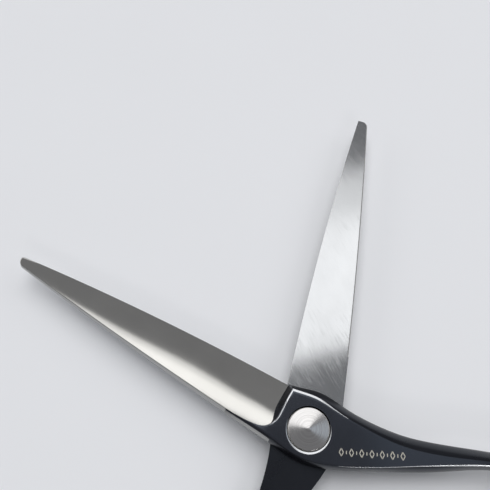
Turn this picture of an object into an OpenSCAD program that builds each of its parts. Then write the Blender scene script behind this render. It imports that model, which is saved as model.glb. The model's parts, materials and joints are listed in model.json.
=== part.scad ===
// Hairdressing shears, 5.5 inch class, plain convex blades, offset rings, flat screw with a tension dial.
// Row frame: the origin is on the pivot axis at the plane that the dial rests on, +Z is up,
// the finger half's blade points along -X and its ring lies along +X.
// Each half is drawn in its own frame: inner face at z = 0, outer face up, cutting edge towards +Y.
// The thumb half is the same forging, turned over about X and swung open about Z.

/* [Blades] */
// Distance from the pivot to the blade tips
tip_reach = 65; // [62:0.5:68]
// Opening angle between the blades as drawn
opening = 72.5; // [40:0.5:100]
// Half-breadth of the blade at the pivot, cutting side
edge_at_pivot = 5.1; // [4.8:0.1:5.4]
// Half-breadth of the blade at the pivot, spine side
spine_at_pivot = 5.4; // [5.2:0.1:5.8]
// Height of the spine ridge at the root
ridge_root = 2.3; // [2:0.1:2.4]
// Height of the spine ridge at the tip
ridge_tip = 0.95; // [0.8:0.05:1.2]

/* [Handles] */
// Thickness of each half at the pivot
half_t = 2.7; // [2.6:0.1:3]
// Finger ring centre along the half
finger_ring_x = 60.7; // [58:0.1:64]
// Thumb ring centre along the half
thumb_ring_x = 55; // [52:0.1:58]
// Ring centres' distance from the closed centre line
ring_y = 15.5; // [15.3:0.1:16.5]
// Inner radius of a ring's metal
ring_in = 10.8; // [10.4:0.1:11]
// Outer radius of a ring's metal
ring_out = 14.2; // [13.8:0.1:14.2]
// Inner radius of the soft ring inserts
insert_in = 9.7; // [9:0.1:10]

/* [Pivot] */
// Radius of the screw's head
head_r = 3.5; // [3.2:0.1:3.6]
// Radius of the screw's journal
journal_r = 2; // [1.8:0.05:2.1]
// Number of balls in the thrust bearing
ball_count = 8; // [6:1:9]
// Radius of the tension dial's rim
dial_r = 4.7; // [4.3:0.1:5]
// Grip notches round the dial
dial_notches = 24; // [12:1:30]

/* [Hidden] */
$fn = 64;

// Levels along the pivot, from the table up
dial_h = 1.7;
dial_gap = 0.2;
parting_gap = 0.06;
lower_z = dial_h + dial_gap + half_t;
upper_z = lower_z + parting_gap;
top_z = upper_z + half_t;

// Pivot stack in the finger half
floor_t = 1;
race_t = 0.28;
ball_r = 0.49;
ball_play = 0.02;
well_r = head_r + 0.25;
well_chamfer = 0.22;
race_top = upper_z + floor_t + race_t;
head_under = race_top + 2 * (ball_r + ball_play);
ball_pitch_r = 2.87;
head_edge_top = top_z + 0.18;
head_crown = 0.32;
bush_out = journal_r + 0.48;
running = 0.03;

// Pivot stack in the thumb half
cup_r = 4.1;
cup_depth = 1;
cup_floor = lower_z - half_t + cup_depth;
thread_r = 1.6;
flat_half = 1.55;
stop_r = 0.72;
hub_top = dial_h + 0.23;
plate_z = hub_top + 0.03;
plate_t = 0.25;
click_pitch_r = 3;
click_r = 0.28;
click_holes = 24;

// Spline key points of the handle's outline, pivot to ring, chosen by hand
cut_side = [[-14, 4.6], [-6.6, 5.1], [-1, 6.7], [6, 6.3], [14, 7.1], [20, 8.95], [28, 12.1],
            [36, 14.9], [44, 17.3], [49, 18.4]];
spine_side = [[-14, -4.9], [-6, -5.2], [1, -5.5], [6, -3.95], [13.5, 0.1], [20.7, 4.15], [28.5, 9.2],
              [36, 11.8], [44, 13.2], [49, 12.9]];
cut_crease = [[-14, 3.6], [-6.6, 4], [-1, 4.95], [5, 4.75], [14, 5.2], [20.4, 7], [28, 10.3],
              [36, 13.5], [44, 15.6], [49, 16.4]];
spine_crease = [[-14, -4.1], [-6.6, -4.3], [1, -4.7], [6, -3.2], [10.7, -0.75], [14.2, 1.3], [19.6, 4.75],
                [25, 8], [28, 9.8], [36, 12.9], [44, 14.7], [49, 14.9]];
// From here on the shank may be shortened to bring a ring nearer the pivot
shank_fixed = 14;
shank_end = 49;
shank_ring_x = 60.7;

// ---- curves -------------------------------------------------------------------------------

// Slope of a key-point spline at point i
function slope(p, i) =
    let (a = max(i - 1, 0), b = min(i + 1, len(p) - 1))
    (p[b][1] - p[a][1]) / (p[b][0] - p[a][0]);

// Cubic Hermite value of a key-point spline at x
function curve(p, x, i = 0) =
    (i < len(p) - 2 && x > p[i + 1][0]) ? curve(p, x, i + 1)
    : let (w = p[i + 1][0] - p[i][0], t = (x - p[i][0]) / w, u = 1 - t)
      p[i][1] * u * u * (1 + 2 * t) + p[i + 1][1] * t * t * (3 - 2 * t)
      + slope(p, i) * w * t * u * u - slope(p, i + 1) * w * t * t * u;

function smooth_step(t) = let (c = min(max(t, 0), 1)) c * c * (3 - 2 * c);

// ---- blade shape, in the half's own frame ---------------------------------------------------

// Cutting edge and spine are shallow arcs, drawn as parabolas
function edge_y(x) = edge_at_pivot + 0.0155 * x - 0.00078 * x * x;
function spine_y(x) = -spine_at_pivot - 0.0335 * x + 0.00049 * x * x;

tip_round = 1.1;
function along(x) = (x + tip_reach) / tip_reach;
function tip_trim(x) =
    let (d = min(x + tip_reach, tip_round))
    tip_round - sqrt(max(tip_round * tip_round - pow(tip_round - d, 2), 0));
function spine_edge(x) = spine_y(x) + tip_trim(x);
function ridge_y(x) = spine_edge(x) + 0.3 + 0.6 * along(x);
function ridge_z(x) = ridge_tip + (ridge_root - ridge_tip) * pow(along(x), 0.9);

// The outer face is one convex arc from the ridge, where it lies level, down to the cutting edge
edge_land = 0.06;
function face_z(x, y) =
    let (across = min(max((y - ridge_y(x)) / (edge_y(x) - ridge_y(x)), 0), 1))
    edge_land + (ridge_z(x) - edge_land) * (1 - across * across);

face_steps = 12;
function blade_section(x) =
    let (e = edge_y(x), r = ridge_y(x), s = spine_edge(x))
    [[x, e, 0],
     for (k = [0 : face_steps]) let (y = e + (r - e) * k / face_steps) [x, y, face_z(x, y)],
     [x, s, 0.28 * ridge_z(x)],
     [x, s, 0]];

// ---- lofting ----------------------------------------------------------------------------

// Closed solid through equal-length sections, with fan caps
module loft(sections) {
    n = len(sections[0]);
    m = len(sections);
    polyhedron(
        points = [for (s = sections) each s],
        faces = [
            for (i = [0 : m - 2], j = [0 : n - 1])
                let (a = i * n + j, b = i * n + (j + 1) % n) each [[a, a + n, b], [b, a + n, b + n]],
            for (j = [1 : n - 2]) [0, j, j + 1],
            for (j = [1 : n - 2]) let (o = (m - 1) * n) [o, o + j + 1, o + j]
        ]);
}

// The handle's shoulder: its foot lies on the blade, its crest on the handle's flat top.
// Both curves run straight across the blade, turn the corner and die out along the spine.
foot_x = -6.6;
crest_x = -5.4;
corner_power = 3.2;
wedge_x = -14;
wedge_y = -4.2;
far = 12;
function corner(front_x) = [
    for (a = [0 : 10 : 90])
        [wedge_x + (front_x - wedge_x) * pow(cos(a), 2 / corner_power), wedge_y * pow(sin(a), 2 / corner_power)]];
function shoulder(front_x) = concat(
    [[-tip_reach - 5, far], [front_x, far], [front_x, 4.6]], corner(front_x),
    [[wedge_x, -far], [-tip_reach - 5, -far]]);

// Everything in front of the foot: the blade lies inside it
module blade_side() {
    translate([0, 0, -5]) linear_extrude(15) polygon(shoulder(foot_x));
}

// The same space, leaning back from the foot to the crest: the handle lies outside it
module shoulder_cut() {
    foot = shoulder(foot_x);
    crest = shoulder(crest_x);
    n = len(foot) - 1;
    level = [for (q = foot) abs(q[1]) < far - 1 ? min(face_z(q[0], q[1]), half_t - 0.4) : 0.5];
    lean = [for (i = [0 : n]) foot[i] + (crest[i] - foot[i]) * (half_t + 1 - level[i]) / (half_t - level[i])];
    loft([
        [for (i = [n : -1 : 0]) [foot[i][0], foot[i][1], -5]],
        [for (i = [n : -1 : 0]) [foot[i][0], foot[i][1], level[i]]],
        [for (i = [n : -1 : 0]) [lean[i][0], lean[i][1], half_t + 1]]
    ]);
}

module blade() {
    near_tip = [for (d = [0, 0.15, 0.4, 0.75]) -tip_reach + d];
    rest = [for (k = [0 : 26]) -tip_reach + 1.1 + (tip_reach - 5.1) * k / 26];
    color("lightgray")
    intersection() {
        loft([for (x = concat(near_tip, rest)) blade_section(x)]);
        blade_side();
    }
}

// ---- handle shape, in the half's own frame --------------------------------------------------

inner_drop = 2.2;
function inner_z(x) = -inner_drop * smooth_step((x - 16) / 28);
function outer_z(x) = half_t - 0.6 * (1 - smooth_step((x + 14) / 8)) - 0.4 * smooth_step((x - 30) / 19);
function wall_top(x) = 0.9 - 0.5 * smooth_step((x - 16) / 30);
function inner_bevel(x) = 0.05 + 0.9 * smooth_step((x - 14) / 20);

function handle_section(x, px, slim) =
    let (c = curve(cut_side, x) - slim * smooth_step((x + 2) / 5) * (1 - smooth_step((x - 16) / 10)),
         s = curve(spine_side, x),
         cc = curve(cut_crease, x), sc = curve(spine_crease, x),
         z0 = inner_z(x), z1 = outer_z(x), b = inner_bevel(x))
    [[px, c - b, z0], [px, c, z0 + b], [px, c, wall_top(x)],
     [px, (2 * cc + c) / 3, z1 - 0.35], [px, cc, z1],
     [px, sc, z1], [px, (s + 2 * sc) / 3, z1 - 0.3],
     [px, s, wall_top(x) + 0.4], [px, s, z0 + b], [px, s + b, z0]];

// Rounded ring section: a true cylinder inside, a full round outside
ring_flat = 2;
ring_half_h = 2.5;
module ring_profile() {
    crown = ring_out - ring_in - 0.9;
    polygon([
        [ring_in, -ring_flat], [ring_in, ring_flat], [ring_in + 0.35, ring_half_h - 0.1],
        for (a = [90 : -15 : -90]) [ring_in + 0.9 + crown * cos(a), ring_half_h * sin(a)],
        [ring_in + 0.35, -ring_half_h + 0.1]
    ]);
}

module ring(ring_x) {
    translate([ring_x, ring_y, -parting_gap / 2]) rotate_extrude() ring_profile();
}

// Block, shank and ring of one half; the ring's place sets how far the shank is stretched, and slim
// is what the block's cutting side loses behind the pivot
module handle_blank(ring_x, slim = 0) {
    stretch = (shank_end - shank_fixed + ring_x - shank_ring_x) / (shank_end - shank_fixed);
    start = wedge_x - 1;
    stations = [for (k = [0 : 40]) start + (shank_end - start) * k / 40];
    difference() {
        loft([for (x = stations)
            handle_section(x, x < shank_fixed ? x : shank_fixed + (x - shank_fixed) * stretch, slim)]);
        shoulder_cut();
    }
    ring(ring_x);
}

// Round hole with two flats that keys the screw
module keyed_hole(r, flat, h) {
    intersection() {
        cylinder(r = r, h = h);
        translate([-flat, -2 * r, 0]) cube([2 * flat, 4 * r, h]);
    }
}

// ---- placing ----------------------------------------------------------------------------

module as_finger_half() {
    translate([0, 0, upper_z]) children();
}

module as_thumb_half() {
    translate([0, 0, lower_z]) rotate([0, 0, -opening]) rotate([180, 0, 0]) children();
}

module tube(r_in, r_out, z0, z1) {
    translate([0, 0, z0])
    difference() {
        cylinder(r = r_out, h = z1 - z0);
        translate([0, 0, -1]) cylinder(r = r_in, h = z1 - z0 + 2);
    }
}

// ---- finger half ------------------------------------------------------------------------

bumper_r = 1.8;
bumper_hole_r = 1;
bumper_hole_depth = 1.8;
// The bumper points at the thumb ring's centre when the shears are closed
bumper_turn = atan2(-2 * ring_y, thumb_ring_x - finger_ring_x);
bumper_reach = norm([2 * ring_y, finger_ring_x - thumb_ring_x]) - 2 * ring_out;

module at_bumper() {
    translate([finger_ring_x, ring_y, -parting_gap / 2]) rotate([0, 0, bumper_turn]) rotate([0, 90, 0]) children();
}

rest_turn = 32;
rest_boss_r = 2.4;
rest_seat = ring_out + 1;
rest_hole_r = 1.25;
module at_finger_rest() {
    translate([finger_ring_x, ring_y, -parting_gap / 2]) rotate([0, 0, rest_turn]) rotate([0, 90, 0]) children();
}

module finger_blade() {
    as_finger_half() blade();
}

module finger_handle() {
    color("#22242a")
    as_finger_half()
    difference() {
        union() {
            handle_blank(finger_ring_x);
            at_finger_rest() translate([0, 0, ring_out - 1.6]) cylinder(r = rest_boss_r, h = rest_seat - ring_out + 1.6);
        }
        translate([0, 0, -1]) cylinder(r = bush_out + 0.02, h = 6);
        translate([0, 0, floor_t]) cylinder(r = well_r, h = 6);
        translate([0, 0, half_t - well_chamfer])
            cylinder(r1 = well_r, r2 = well_r + 2 * well_chamfer, h = 2 * well_chamfer);
        at_bumper() translate([0, 0, ring_out - bumper_hole_depth]) cylinder(r = bumper_hole_r, h = 4);
        at_finger_rest() translate([0, 0, ring_out - 2.4]) cylinder(r = rest_hole_r, h = 6);
    }
}

module ring_insert(ring_x) {
    color("#3a3c40")
    translate([ring_x, ring_y, -parting_gap / 2])
    rotate_extrude() {
        seat = ring_in - 0.02;
        round_r = 0.45;
        land = ring_flat + 0.05;
        polygon([
            for (a = [0 : 15 : 90]) [insert_in + round_r - round_r * cos(a), land - round_r + round_r * sin(a)],
            for (a = [90 : -30 : 0]) [seat - 0.2 + 0.2 * cos(a), land - 0.2 + 0.2 * sin(a)],
            for (a = [0 : -30 : -90]) [seat - 0.2 + 0.2 * cos(a), -land + 0.2 + 0.2 * sin(a)],
            for (a = [-90 : 15 : 0]) [insert_in + round_r - round_r * cos(a), -land + round_r + round_r * sin(a)]
        ]);
    }
}

module finger_ring_insert() {
    as_finger_half() ring_insert(finger_ring_x);
}

module bumper() {
    color("#5a5d63")
    as_finger_half() at_bumper() {
        head = bumper_reach - 0.08;
        translate([0, 0, ring_out - bumper_hole_depth + 0.2])
            cylinder(r = bumper_hole_r - 0.02, h = bumper_hole_depth + 0.5);
        translate([0, 0, ring_out + 0.15])
        rotate_extrude()
            polygon([[0, 0], [bumper_r, 0], [bumper_r, head - 1],
                     for (a = [0 : 15 : 90]) [bumper_r - 0.6 + 0.6 * cos(a), head - 0.75 + 0.6 * sin(a)],
                     [0, head - 0.15]]);
    }
}

// ---- finger rest ------------------------------------------------------------------------

// Curved rest for the little finger: a round shank that bends outwards and tapers to a rounded tip
rest_r0 = 2.1;
rest_r1 = 1.25;
rest_bend_r = 13;
rest_bend = 68;
rest_straight = 2.2;
function rest_point(t) =
    t < 0.15 ? [rest_straight * t / 0.15, 0, 0]
    : let (a = rest_bend * (t - 0.15) / 0.85)
      [rest_straight + rest_bend_r * sin(a), rest_bend_r * (1 - cos(a)), a];

module finger_rest() {
    sides = 20;
    steps = 24;
    color("#22242a")
    as_finger_half() at_finger_rest() translate([0, 0, rest_seat + 0.3]) {
        loft([for (k = [0 : steps]) let (
                t = k / steps, p = rest_point(min(t, 1)),
                end = max(t - 0.93, 0) / 0.07,
                r = (rest_r0 + (rest_r1 - rest_r0) * t) * sqrt(max(1 - 0.97 * end * end, 0.02)))
            [for (j = [0 : sides - 1]) let (b = 360 * j / sides, q = r * cos(b))
                [-r * sin(b), q * cos(p[2]) + p[1], p[0] - q * sin(p[2])]]]);
        translate([0, 0, -3]) cylinder(r = rest_hole_r - running, h = 3.2);
    }
}

module finger_rest_washer() {
    color("white")
    as_finger_half() at_finger_rest() tube(rest_hole_r + 0.05, rest_boss_r - 0.15, rest_seat + 0.02, rest_seat + 0.27);
}

// ---- bearing ------------------------------------------------------------------------------

module pivot_bush() {
    color("burlywood") tube(journal_r + running, bush_out, upper_z + 0.03, upper_z + floor_t - 0.02);
}

module bearing_race() {
    color("silver") tube(journal_r + 0.12, well_r - 0.1, upper_z + floor_t, race_top);
}

module around_balls() {
    for (k = [0 : ball_count - 1]) rotate([0, 0, 360 * k / ball_count]) translate([ball_pitch_r, 0, 0]) children();
}

module bearing_cage() {
    color("beige")
    difference() {
        tube(journal_r + 0.16, well_r - 0.16, race_top + 0.26, head_under - 0.26);
        around_balls() translate([0, 0, race_top - 1]) cylinder(r = ball_r + 0.05, h = 4);
    }
}

module bearing_balls() {
    color("silver") around_balls() translate([0, 0, (race_top + head_under) / 2]) sphere(r = ball_r);
}

// ---- thumb half ---------------------------------------------------------------------------

module thumb_blade() {
    as_thumb_half() blade();
}

module thumb_handle() {
    color("#22242a")
    as_thumb_half()
    difference() {
        handle_blank(thumb_ring_x, 0.5);
        translate([0, 0, -1]) keyed_hole(journal_r + 0.04, flat_half + 0.03, 6);
        translate([0, 0, half_t - cup_depth]) cylinder(r = cup_r, h = 6);
    }
}

module thumb_ring_insert() {
    as_thumb_half() ring_insert(thumb_ring_x);
}

// Head, journal, keyed neck and thread in one piece; it turns with the thumb half
module pivot_screw() {
    neck_z = hub_top + 0.02;
    thread_end = 0.75;
    color("silver")
    difference() {
        union() {
            rotate_extrude()
                polygon([[0, head_under], [head_r, head_under], [head_r, head_edge_top - 0.12],
                         [head_r - 0.04, head_edge_top - 0.04], [head_r - 0.14, head_edge_top],
                         [0.3, head_edge_top + head_crown], [0, head_edge_top + head_crown - 0.1]]);
            translate([0, 0, lower_z + 0.03]) cylinder(r = journal_r, h = head_under - lower_z);
            rotate([0, 0, -opening]) translate([0, 0, neck_z])
                keyed_hole(journal_r, flat_half, lower_z - neck_z + 0.1);
            translate([0, 0, thread_end]) cylinder(r = thread_r, h = neck_z);
        }
        translate([0, 0, -1]) cylinder(r = stop_r + 0.02, h = 4);
    }
}

module thrust_washer() {
    color("white") tube(journal_r + 0.1, cup_r - 0.15, cup_floor - 0.34, cup_floor - 0.04);
}

// Dished spring washer that sets the blades' tension
module tension_spring() {
    z0 = plate_z + plate_t + 0.03;
    r0 = journal_r + 0.15;
    r1 = cup_r - 0.2;
    color("silver")
    rotate_extrude() polygon([[r0, z0 + 0.1], [r1, z0], [r1, z0 + 0.2], [r0, z0 + 0.3]]);
}

module around_clicks(count) {
    for (k = [0 : count - 1]) rotate([0, 0, 360 * k / count]) translate([click_pitch_r, 0, 0]) children();
}

module click_plate() {
    color("silver")
    difference() {
        translate([0, 0, plate_z]) cylinder(r = cup_r - 0.06, h = plate_t);
        rotate([0, 0, -opening]) translate([0, 0, plate_z - 1]) keyed_hole(journal_r + 0.04, flat_half + 0.03, 3);
        around_clicks(click_holes) translate([0, 0, plate_z - 1]) cylinder(r = 0.26, h = 3);
    }
}

module click_balls() {
    color("silver") around_clicks(3) translate([0, 0, plate_z + 0.02 - click_r]) sphere(r = click_r);
}

module tension_dial() {
    recess_r = 2.4;
    color("silver")
    difference() {
        rotate_extrude()
            polygon([[thread_r + running, 0], [dial_r - 0.3, 0], [dial_r, 0.3], [dial_r, dial_h - 0.2],
                     [dial_r - 0.2, dial_h], [cup_r - 0.2, dial_h], [cup_r - 0.2, hub_top],
                     [thread_r + running, hub_top]]);
        translate([0, 0, -1]) cylinder(r = recess_r, h = 1.72);
        around_clicks(3) translate([0, 0, plate_z - 2 * click_r - 0.02]) cylinder(r = click_r + 0.02, h = 3);
        for (k = [0 : dial_notches - 1])
            rotate([0, 0, 360 * k / dial_notches]) translate([dial_r + 0.12, 0, -1]) cylinder(r = 0.3, h = 4);
    }
}

// Slotted screw in the end of the pivot: it keeps the dial from running off
module dial_stop_screw() {
    head_z = 0.14;
    stop_head_r = 2.25;
    color("silver")
    difference() {
        union() {
            translate([0, 0, head_z]) cylinder(r = stop_head_r, h = 0.52);
            translate([0, 0, head_z + 0.3]) cylinder(r = stop_r, h = 2);
        }
        translate([-3, -0.2, head_z - 1]) cube([6, 0.4, 1.25]);
    }
}

finger_blade();
finger_handle();
finger_ring_insert();
bumper();
pivot_bush();
bearing_race();
bearing_cage();
bearing_balls();
thumb_blade();
thumb_handle();
thumb_ring_insert();
pivot_screw();
thrust_washer();
tension_spring();
click_plate();
click_balls();
tension_dial();
dial_stop_screw();
finger_rest();
finger_rest_washer();
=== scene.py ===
# %% [markdown]
# # Hairdressing shears
# A pair of 5.5 inch shears lies open on a pale table. Two forged halves cross at a flat turned
# screw. The blades are bare ground steel, and the blocks, shanks and rings behind them carry a
# thin black coat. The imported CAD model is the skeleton. It fixes every place and size, and this
# file gives it its looks.

# %% Load the frame
import json
import math

import bmesh
import bpy
from mathutils import Matrix, Vector


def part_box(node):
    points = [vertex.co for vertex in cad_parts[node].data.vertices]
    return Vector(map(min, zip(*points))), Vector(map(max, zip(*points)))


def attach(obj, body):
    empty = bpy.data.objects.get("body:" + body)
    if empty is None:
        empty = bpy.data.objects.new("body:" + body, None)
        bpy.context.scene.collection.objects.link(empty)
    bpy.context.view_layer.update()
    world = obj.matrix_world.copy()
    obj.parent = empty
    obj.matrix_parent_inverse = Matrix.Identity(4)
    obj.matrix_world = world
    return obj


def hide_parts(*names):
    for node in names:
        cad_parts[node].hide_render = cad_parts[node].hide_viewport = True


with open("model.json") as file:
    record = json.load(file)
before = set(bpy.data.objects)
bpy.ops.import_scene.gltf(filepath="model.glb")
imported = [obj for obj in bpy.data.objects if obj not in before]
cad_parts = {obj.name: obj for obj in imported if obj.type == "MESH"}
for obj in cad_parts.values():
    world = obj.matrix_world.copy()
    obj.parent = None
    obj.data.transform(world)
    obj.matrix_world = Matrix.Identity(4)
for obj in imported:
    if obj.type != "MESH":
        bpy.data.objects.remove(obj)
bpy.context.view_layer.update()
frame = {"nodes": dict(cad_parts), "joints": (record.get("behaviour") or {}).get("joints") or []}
scene = bpy.context.scene
MM = 0.001

# %% [markdown]
# ## Measures
# Every place comes from the frame. The blades' boxes give the two inner faces and the reach of
# the tips, the ring inserts give the ring centres, and the pivot joint's limit tells how far the
# pair stands open. From here on a half is drawn in its own millimetres: inner face at height 0,
# outer face up, blade towards -X.

# %% Measures from the frame
def box_mm(node):
    low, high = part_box(node)
    return low / MM, high / MM


upper_z = box_mm("finger_blade")[0].z
lower_z = box_mm("thumb_blade")[1].z
tip_reach = -box_mm("finger_blade")[0].x - 0.03
opening = [j for j in frame["joints"] if j["name"] == "blade_pivot"][0]["range_deg"][1]
half_t = 2.7

finger_place = Matrix.Translation((0, 0, upper_z))
thumb_place = (
    Matrix.Translation((0, 0, lower_z))
    @ Matrix.Rotation(math.radians(-opening), 4, "Z")
    @ Matrix.Rotation(math.pi, 4, "X")
)


def ring_centre(insert, place):
    low, high = box_mm(insert)
    return place.inverted() @ ((low + high) / 2)


finger_ring = ring_centre("finger_ring_insert", finger_place)
thumb_ring = ring_centre("thumb_ring_insert", thumb_place)
print("tip reach", round(tip_reach, 2), "opening", opening)
print("ring centres", [round(v, 2) for v in finger_ring], [round(v, 2) for v in thumb_ring])

# %% [markdown]
# ## Helpers
# A mesh here is a list of points in millimetres and a list of faces. `mesh_object` turns that into
# an object, and `finish_piece` brings it to metres, lets it ride on its CAD body and says which CAD
# node it stands for. Booleans are applied at once, so that every piece ends as one plain mesh.

# %% Mesh helpers
def mesh_object(name, points, faces, place=Matrix(), slots=(), slot_of=None):
    mesh = bpy.data.meshes.new(name)
    mesh.from_pydata([place @ Vector(p) for p in points], [], faces)
    for material in slots:
        mesh.materials.append(material)
    for i, polygon in enumerate(mesh.polygons):
        polygon.use_smooth = True
        polygon.material_index = slot_of[i] if slot_of else 0
    edit = bmesh.new()
    edit.from_mesh(mesh)
    bmesh.ops.recalc_face_normals(edit, faces=edit.faces)
    edit.to_mesh(mesh)
    edit.free()
    obj = bpy.data.objects.new(name, mesh)
    scene.collection.objects.link(obj)
    return obj

# %% [markdown]
# A cutter is used up by its cut, as on a bench. The exact solver is slower than the fast one but
# leaves closed meshes, and each result is kept as plain mesh at once, so no modifier depends on a
# cutter that is gone.

# %% Cuts and joins
def bake_modifiers(obj):
    """Keeps what the modifiers make as the object's own mesh."""
    graph = bpy.context.evaluated_depsgraph_get()
    mesh = bpy.data.meshes.new_from_object(obj.evaluated_get(graph))
    obj.modifiers.clear()
    obj.data = mesh
    return obj


def combine(obj, tool, how):
    """Cuts or joins the tool, which is used up."""
    step = obj.modifiers.new(how, "BOOLEAN")
    step.operation = how
    step.solver = "EXACT"
    step.object = tool
    bake_modifiers(obj)
    bpy.data.objects.remove(tool)
    return obj

# %% [markdown]
# Exact cuts leave points that nearly fall together and faces without area. Both are cleared
# first, so that the mesh stays closed. Then shading is smooth except where faces meet steeply,
# which is how a ground edge looks.

# %% Finishing a piece
same_point = 0.0005


def clean_mesh(mesh):
    """Joins points that nearly fall together, drops faces without area and closes pinholes."""
    edit = bmesh.new()
    edit.from_mesh(mesh)
    bmesh.ops.remove_doubles(edit, verts=edit.verts, dist=same_point)
    bmesh.ops.dissolve_degenerate(edit, edges=edit.edges, dist=same_point)
    open_edges = [edge for edge in edit.edges if edge.is_boundary]
    bmesh.ops.holes_fill(edit, edges=open_edges, sides=8)
    edit.to_mesh(mesh)
    edit.free()


def finish_piece(obj, body, stands_for=(), sharp=35):
    """From millimetres to metres, sharp where faces meet steeply, then onto its body."""
    clean_mesh(obj.data)
    obj.data.transform(Matrix.Scale(MM, 4))
    for polygon in obj.data.polygons:
        polygon.use_smooth = True
    obj.data.set_sharp_from_angle(angle=math.radians(sharp))
    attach(obj, body)
    if stands_for:
        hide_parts(*stands_for)
    print(f"{obj.name}: {len(obj.data.polygons)} faces on {body}")
    return obj

# %% [markdown]
# Most of the shears is either swept or turned. A loft joins equal cross sections with quads, and
# a lathe spins a profile about Z. Both give even faces that follow the shape, which primitives
# would not.

# %% Lofts and lathes
def loft_faces(rows, columns):
    """Quads between closed rows with the same number of points."""
    quads = []
    for i in range(rows - 1):
        for j in range(columns):
            a = i * columns + j
            b = i * columns + (j + 1) % columns
            quads.append((a, b, b + columns, a + columns))
    return quads


def solid_loft(sections):
    """Closed loft through sections of (x, y, z) points."""
    count = len(sections[0])
    faces = loft_faces(len(sections), count)
    faces.append(tuple(range(count)))
    faces.append(tuple((len(sections) - 1) * count + j for j in range(count)))
    return [p for section in sections for p in section], faces


def lathe(profile, turns=128):
    """Closed solid of revolution about Z from (radius, height) points."""
    points = []
    for k in range(turns):
        angle = 2 * math.pi * k / turns
        points += [(r * math.cos(angle), r * math.sin(angle), z) for r, z in profile]
    faces = []
    n = len(profile)
    for k in range(turns):
        for j in range(n - 1 if profile[0][0] == 0 else n):
            a, b = k * n + j, k * n + (j + 1) % n
            c, d = ((k + 1) % turns) * n + (j + 1) % n, ((k + 1) % turns) * n + j
            faces.append((a, b, c, d))
    return points, faces


def arc(centre, radius, start, end, steps):
    """Points of (radius, height) along an arc, angles in degrees."""
    return [
        (
            centre[0] + radius * math.cos(math.radians(start + (end - start) * k / steps)),
            centre[1] + radius * math.sin(math.radians(start + (end - start) * k / steps)),
        )
        for k in range(steps + 1)
    ]

# %% [markdown]
# The maker's outlines are smooth lines through a few points. A Hermite curve passes through every
# key and needs no handles, so a key can be moved by a tenth of a millimetre without upsetting the
# rest.

# %% Curves
def smooth_step(t):
    t = min(max(t, 0), 1)
    return t * t * (3 - 2 * t)


def curve(points, x):
    """Cubic Hermite curve y(x) through key points."""
    i = 0
    while i < len(points) - 2 and x > points[i + 1][0]:
        i += 1

    def slope(k):
        a, b = points[max(k - 1, 0)], points[min(k + 1, len(points) - 1)]
        return (b[1] - a[1]) / (b[0] - a[0])

    (x0, y0), (x1, y1) = points[i], points[i + 1]
    w = x1 - x0
    t = (x - x0) / w
    u = 1 - t
    ends = y0 * u * u * (1 + 2 * t) + y1 * t * t * (3 - 2 * t)
    return ends + slope(i) * w * t * u * u - slope(i + 1) * w * t * t * u

# %% [markdown]
# ## Camera and light
# The camera stands a hand's breadth above the screw and looks nearly straight down, a little
# turned, like someone leaning over a bench. Metal shows what it mirrors, so the light is planned
# from the blades: one soft panel high behind the pair, just wide enough to fill the lower blade's
# flat face and to miss the upper blade's bevel, with a weaker strip beside it. A low panel on
# each side makes the soft shadows, a small bright strip draws the thin lights along the edges,
# and a faint cool one near the zenith glows in the upper blade.

# %% Camera
def turn(axis, degrees):
    return Matrix.Rotation(math.radians(degrees), 3, axis)


camera_data = bpy.data.cameras.new("camera")
camera_data.lens = 40.4
camera_data.sensor_width = 36
camera_data.clip_start = 0.005
camera = bpy.data.objects.new("camera", camera_data)
scene.collection.objects.link(camera)
looks = (turn("Z", 9.34) @ turn("X", -22.77) @ turn("Z", -38.93)).transposed()
camera_at = Vector((-0.52, -8.26, 101.07 + (upper_z + lower_z) / 2)) * MM
camera.matrix_world = Matrix.Translation(camera_at) @ looks.to_4x4()
scene.camera = camera
print("camera at", [round(v, 4) for v in camera_at])

# %% [markdown]
# Each panel is named for what it does and placed by azimuth and by angle from straight overhead.
# All of them stand three metres off, because a near panel would slide along the steel from one
# end to the other. Radiance, not power, is given, so a panel keeps its brightness in the metal
# when its size changes.

# %% Lights
pivot_top = Vector((0, 0, upper_z * MM))


def panel(name, azimuth, from_zenith, distance, size, radiance, tint=(1, 1, 1)):
    """Area light that faces the pivot. Size is across by along the line of sight, in metres."""
    data = bpy.data.lights.new(name, "AREA")
    data.shape = "RECTANGLE"
    data.size, data.size_y = size
    data.energy = radiance * math.pi * size[0] * size[1]
    data.color = tint
    light = bpy.data.objects.new(name, data)
    scene.collection.objects.link(light)
    around, down = math.radians(azimuth), math.radians(from_zenith)
    flat = Vector((math.cos(around), math.sin(around), 0))
    away = flat * math.sin(down) + Vector((0, 0, math.cos(down)))
    across = Vector((0, 0, 1)).cross(flat)
    up = away.cross(across)
    basis = Matrix((across, -up, away)).transposed()
    light.matrix_world = Matrix.Translation(pivot_top + away * distance) @ basis.to_4x4()
    return light


away_m = 3
panel("softbox", 139, 16.05, away_m, (2.2, 0.7), 1.25)
panel("softbox_edge", 139, 25.0, away_m, (2.2, 0.24), 0.85)
panel("near_glow", 44, 14, away_m, (0.6, 0.5), 0.33, (0.75, 0.87, 1))
panel("right_panel", 45, 55, away_m, (2.6, 1.6), 1.1)
panel("left_panel", 190, 62, away_m, (2.2, 1.0), 1.25)
panel("edge_strip", 317, 54, away_m, (0.9, 0.3), 6)
ceiling = panel("ceiling", 110, 24, away_m, (2.6, 2.6), 2.72)
# The ceiling only lifts the table and the shadows. Polished steel would mirror it as a second window.
ceiling.visible_glossy = False
print(len(bpy.data.lights), "panels")

# %% [markdown]
# The rest of the room is a dim, slightly cool grey. It is what the dark parts of the steel
# mirror, so its level sets how dark polished metal gets.

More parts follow.
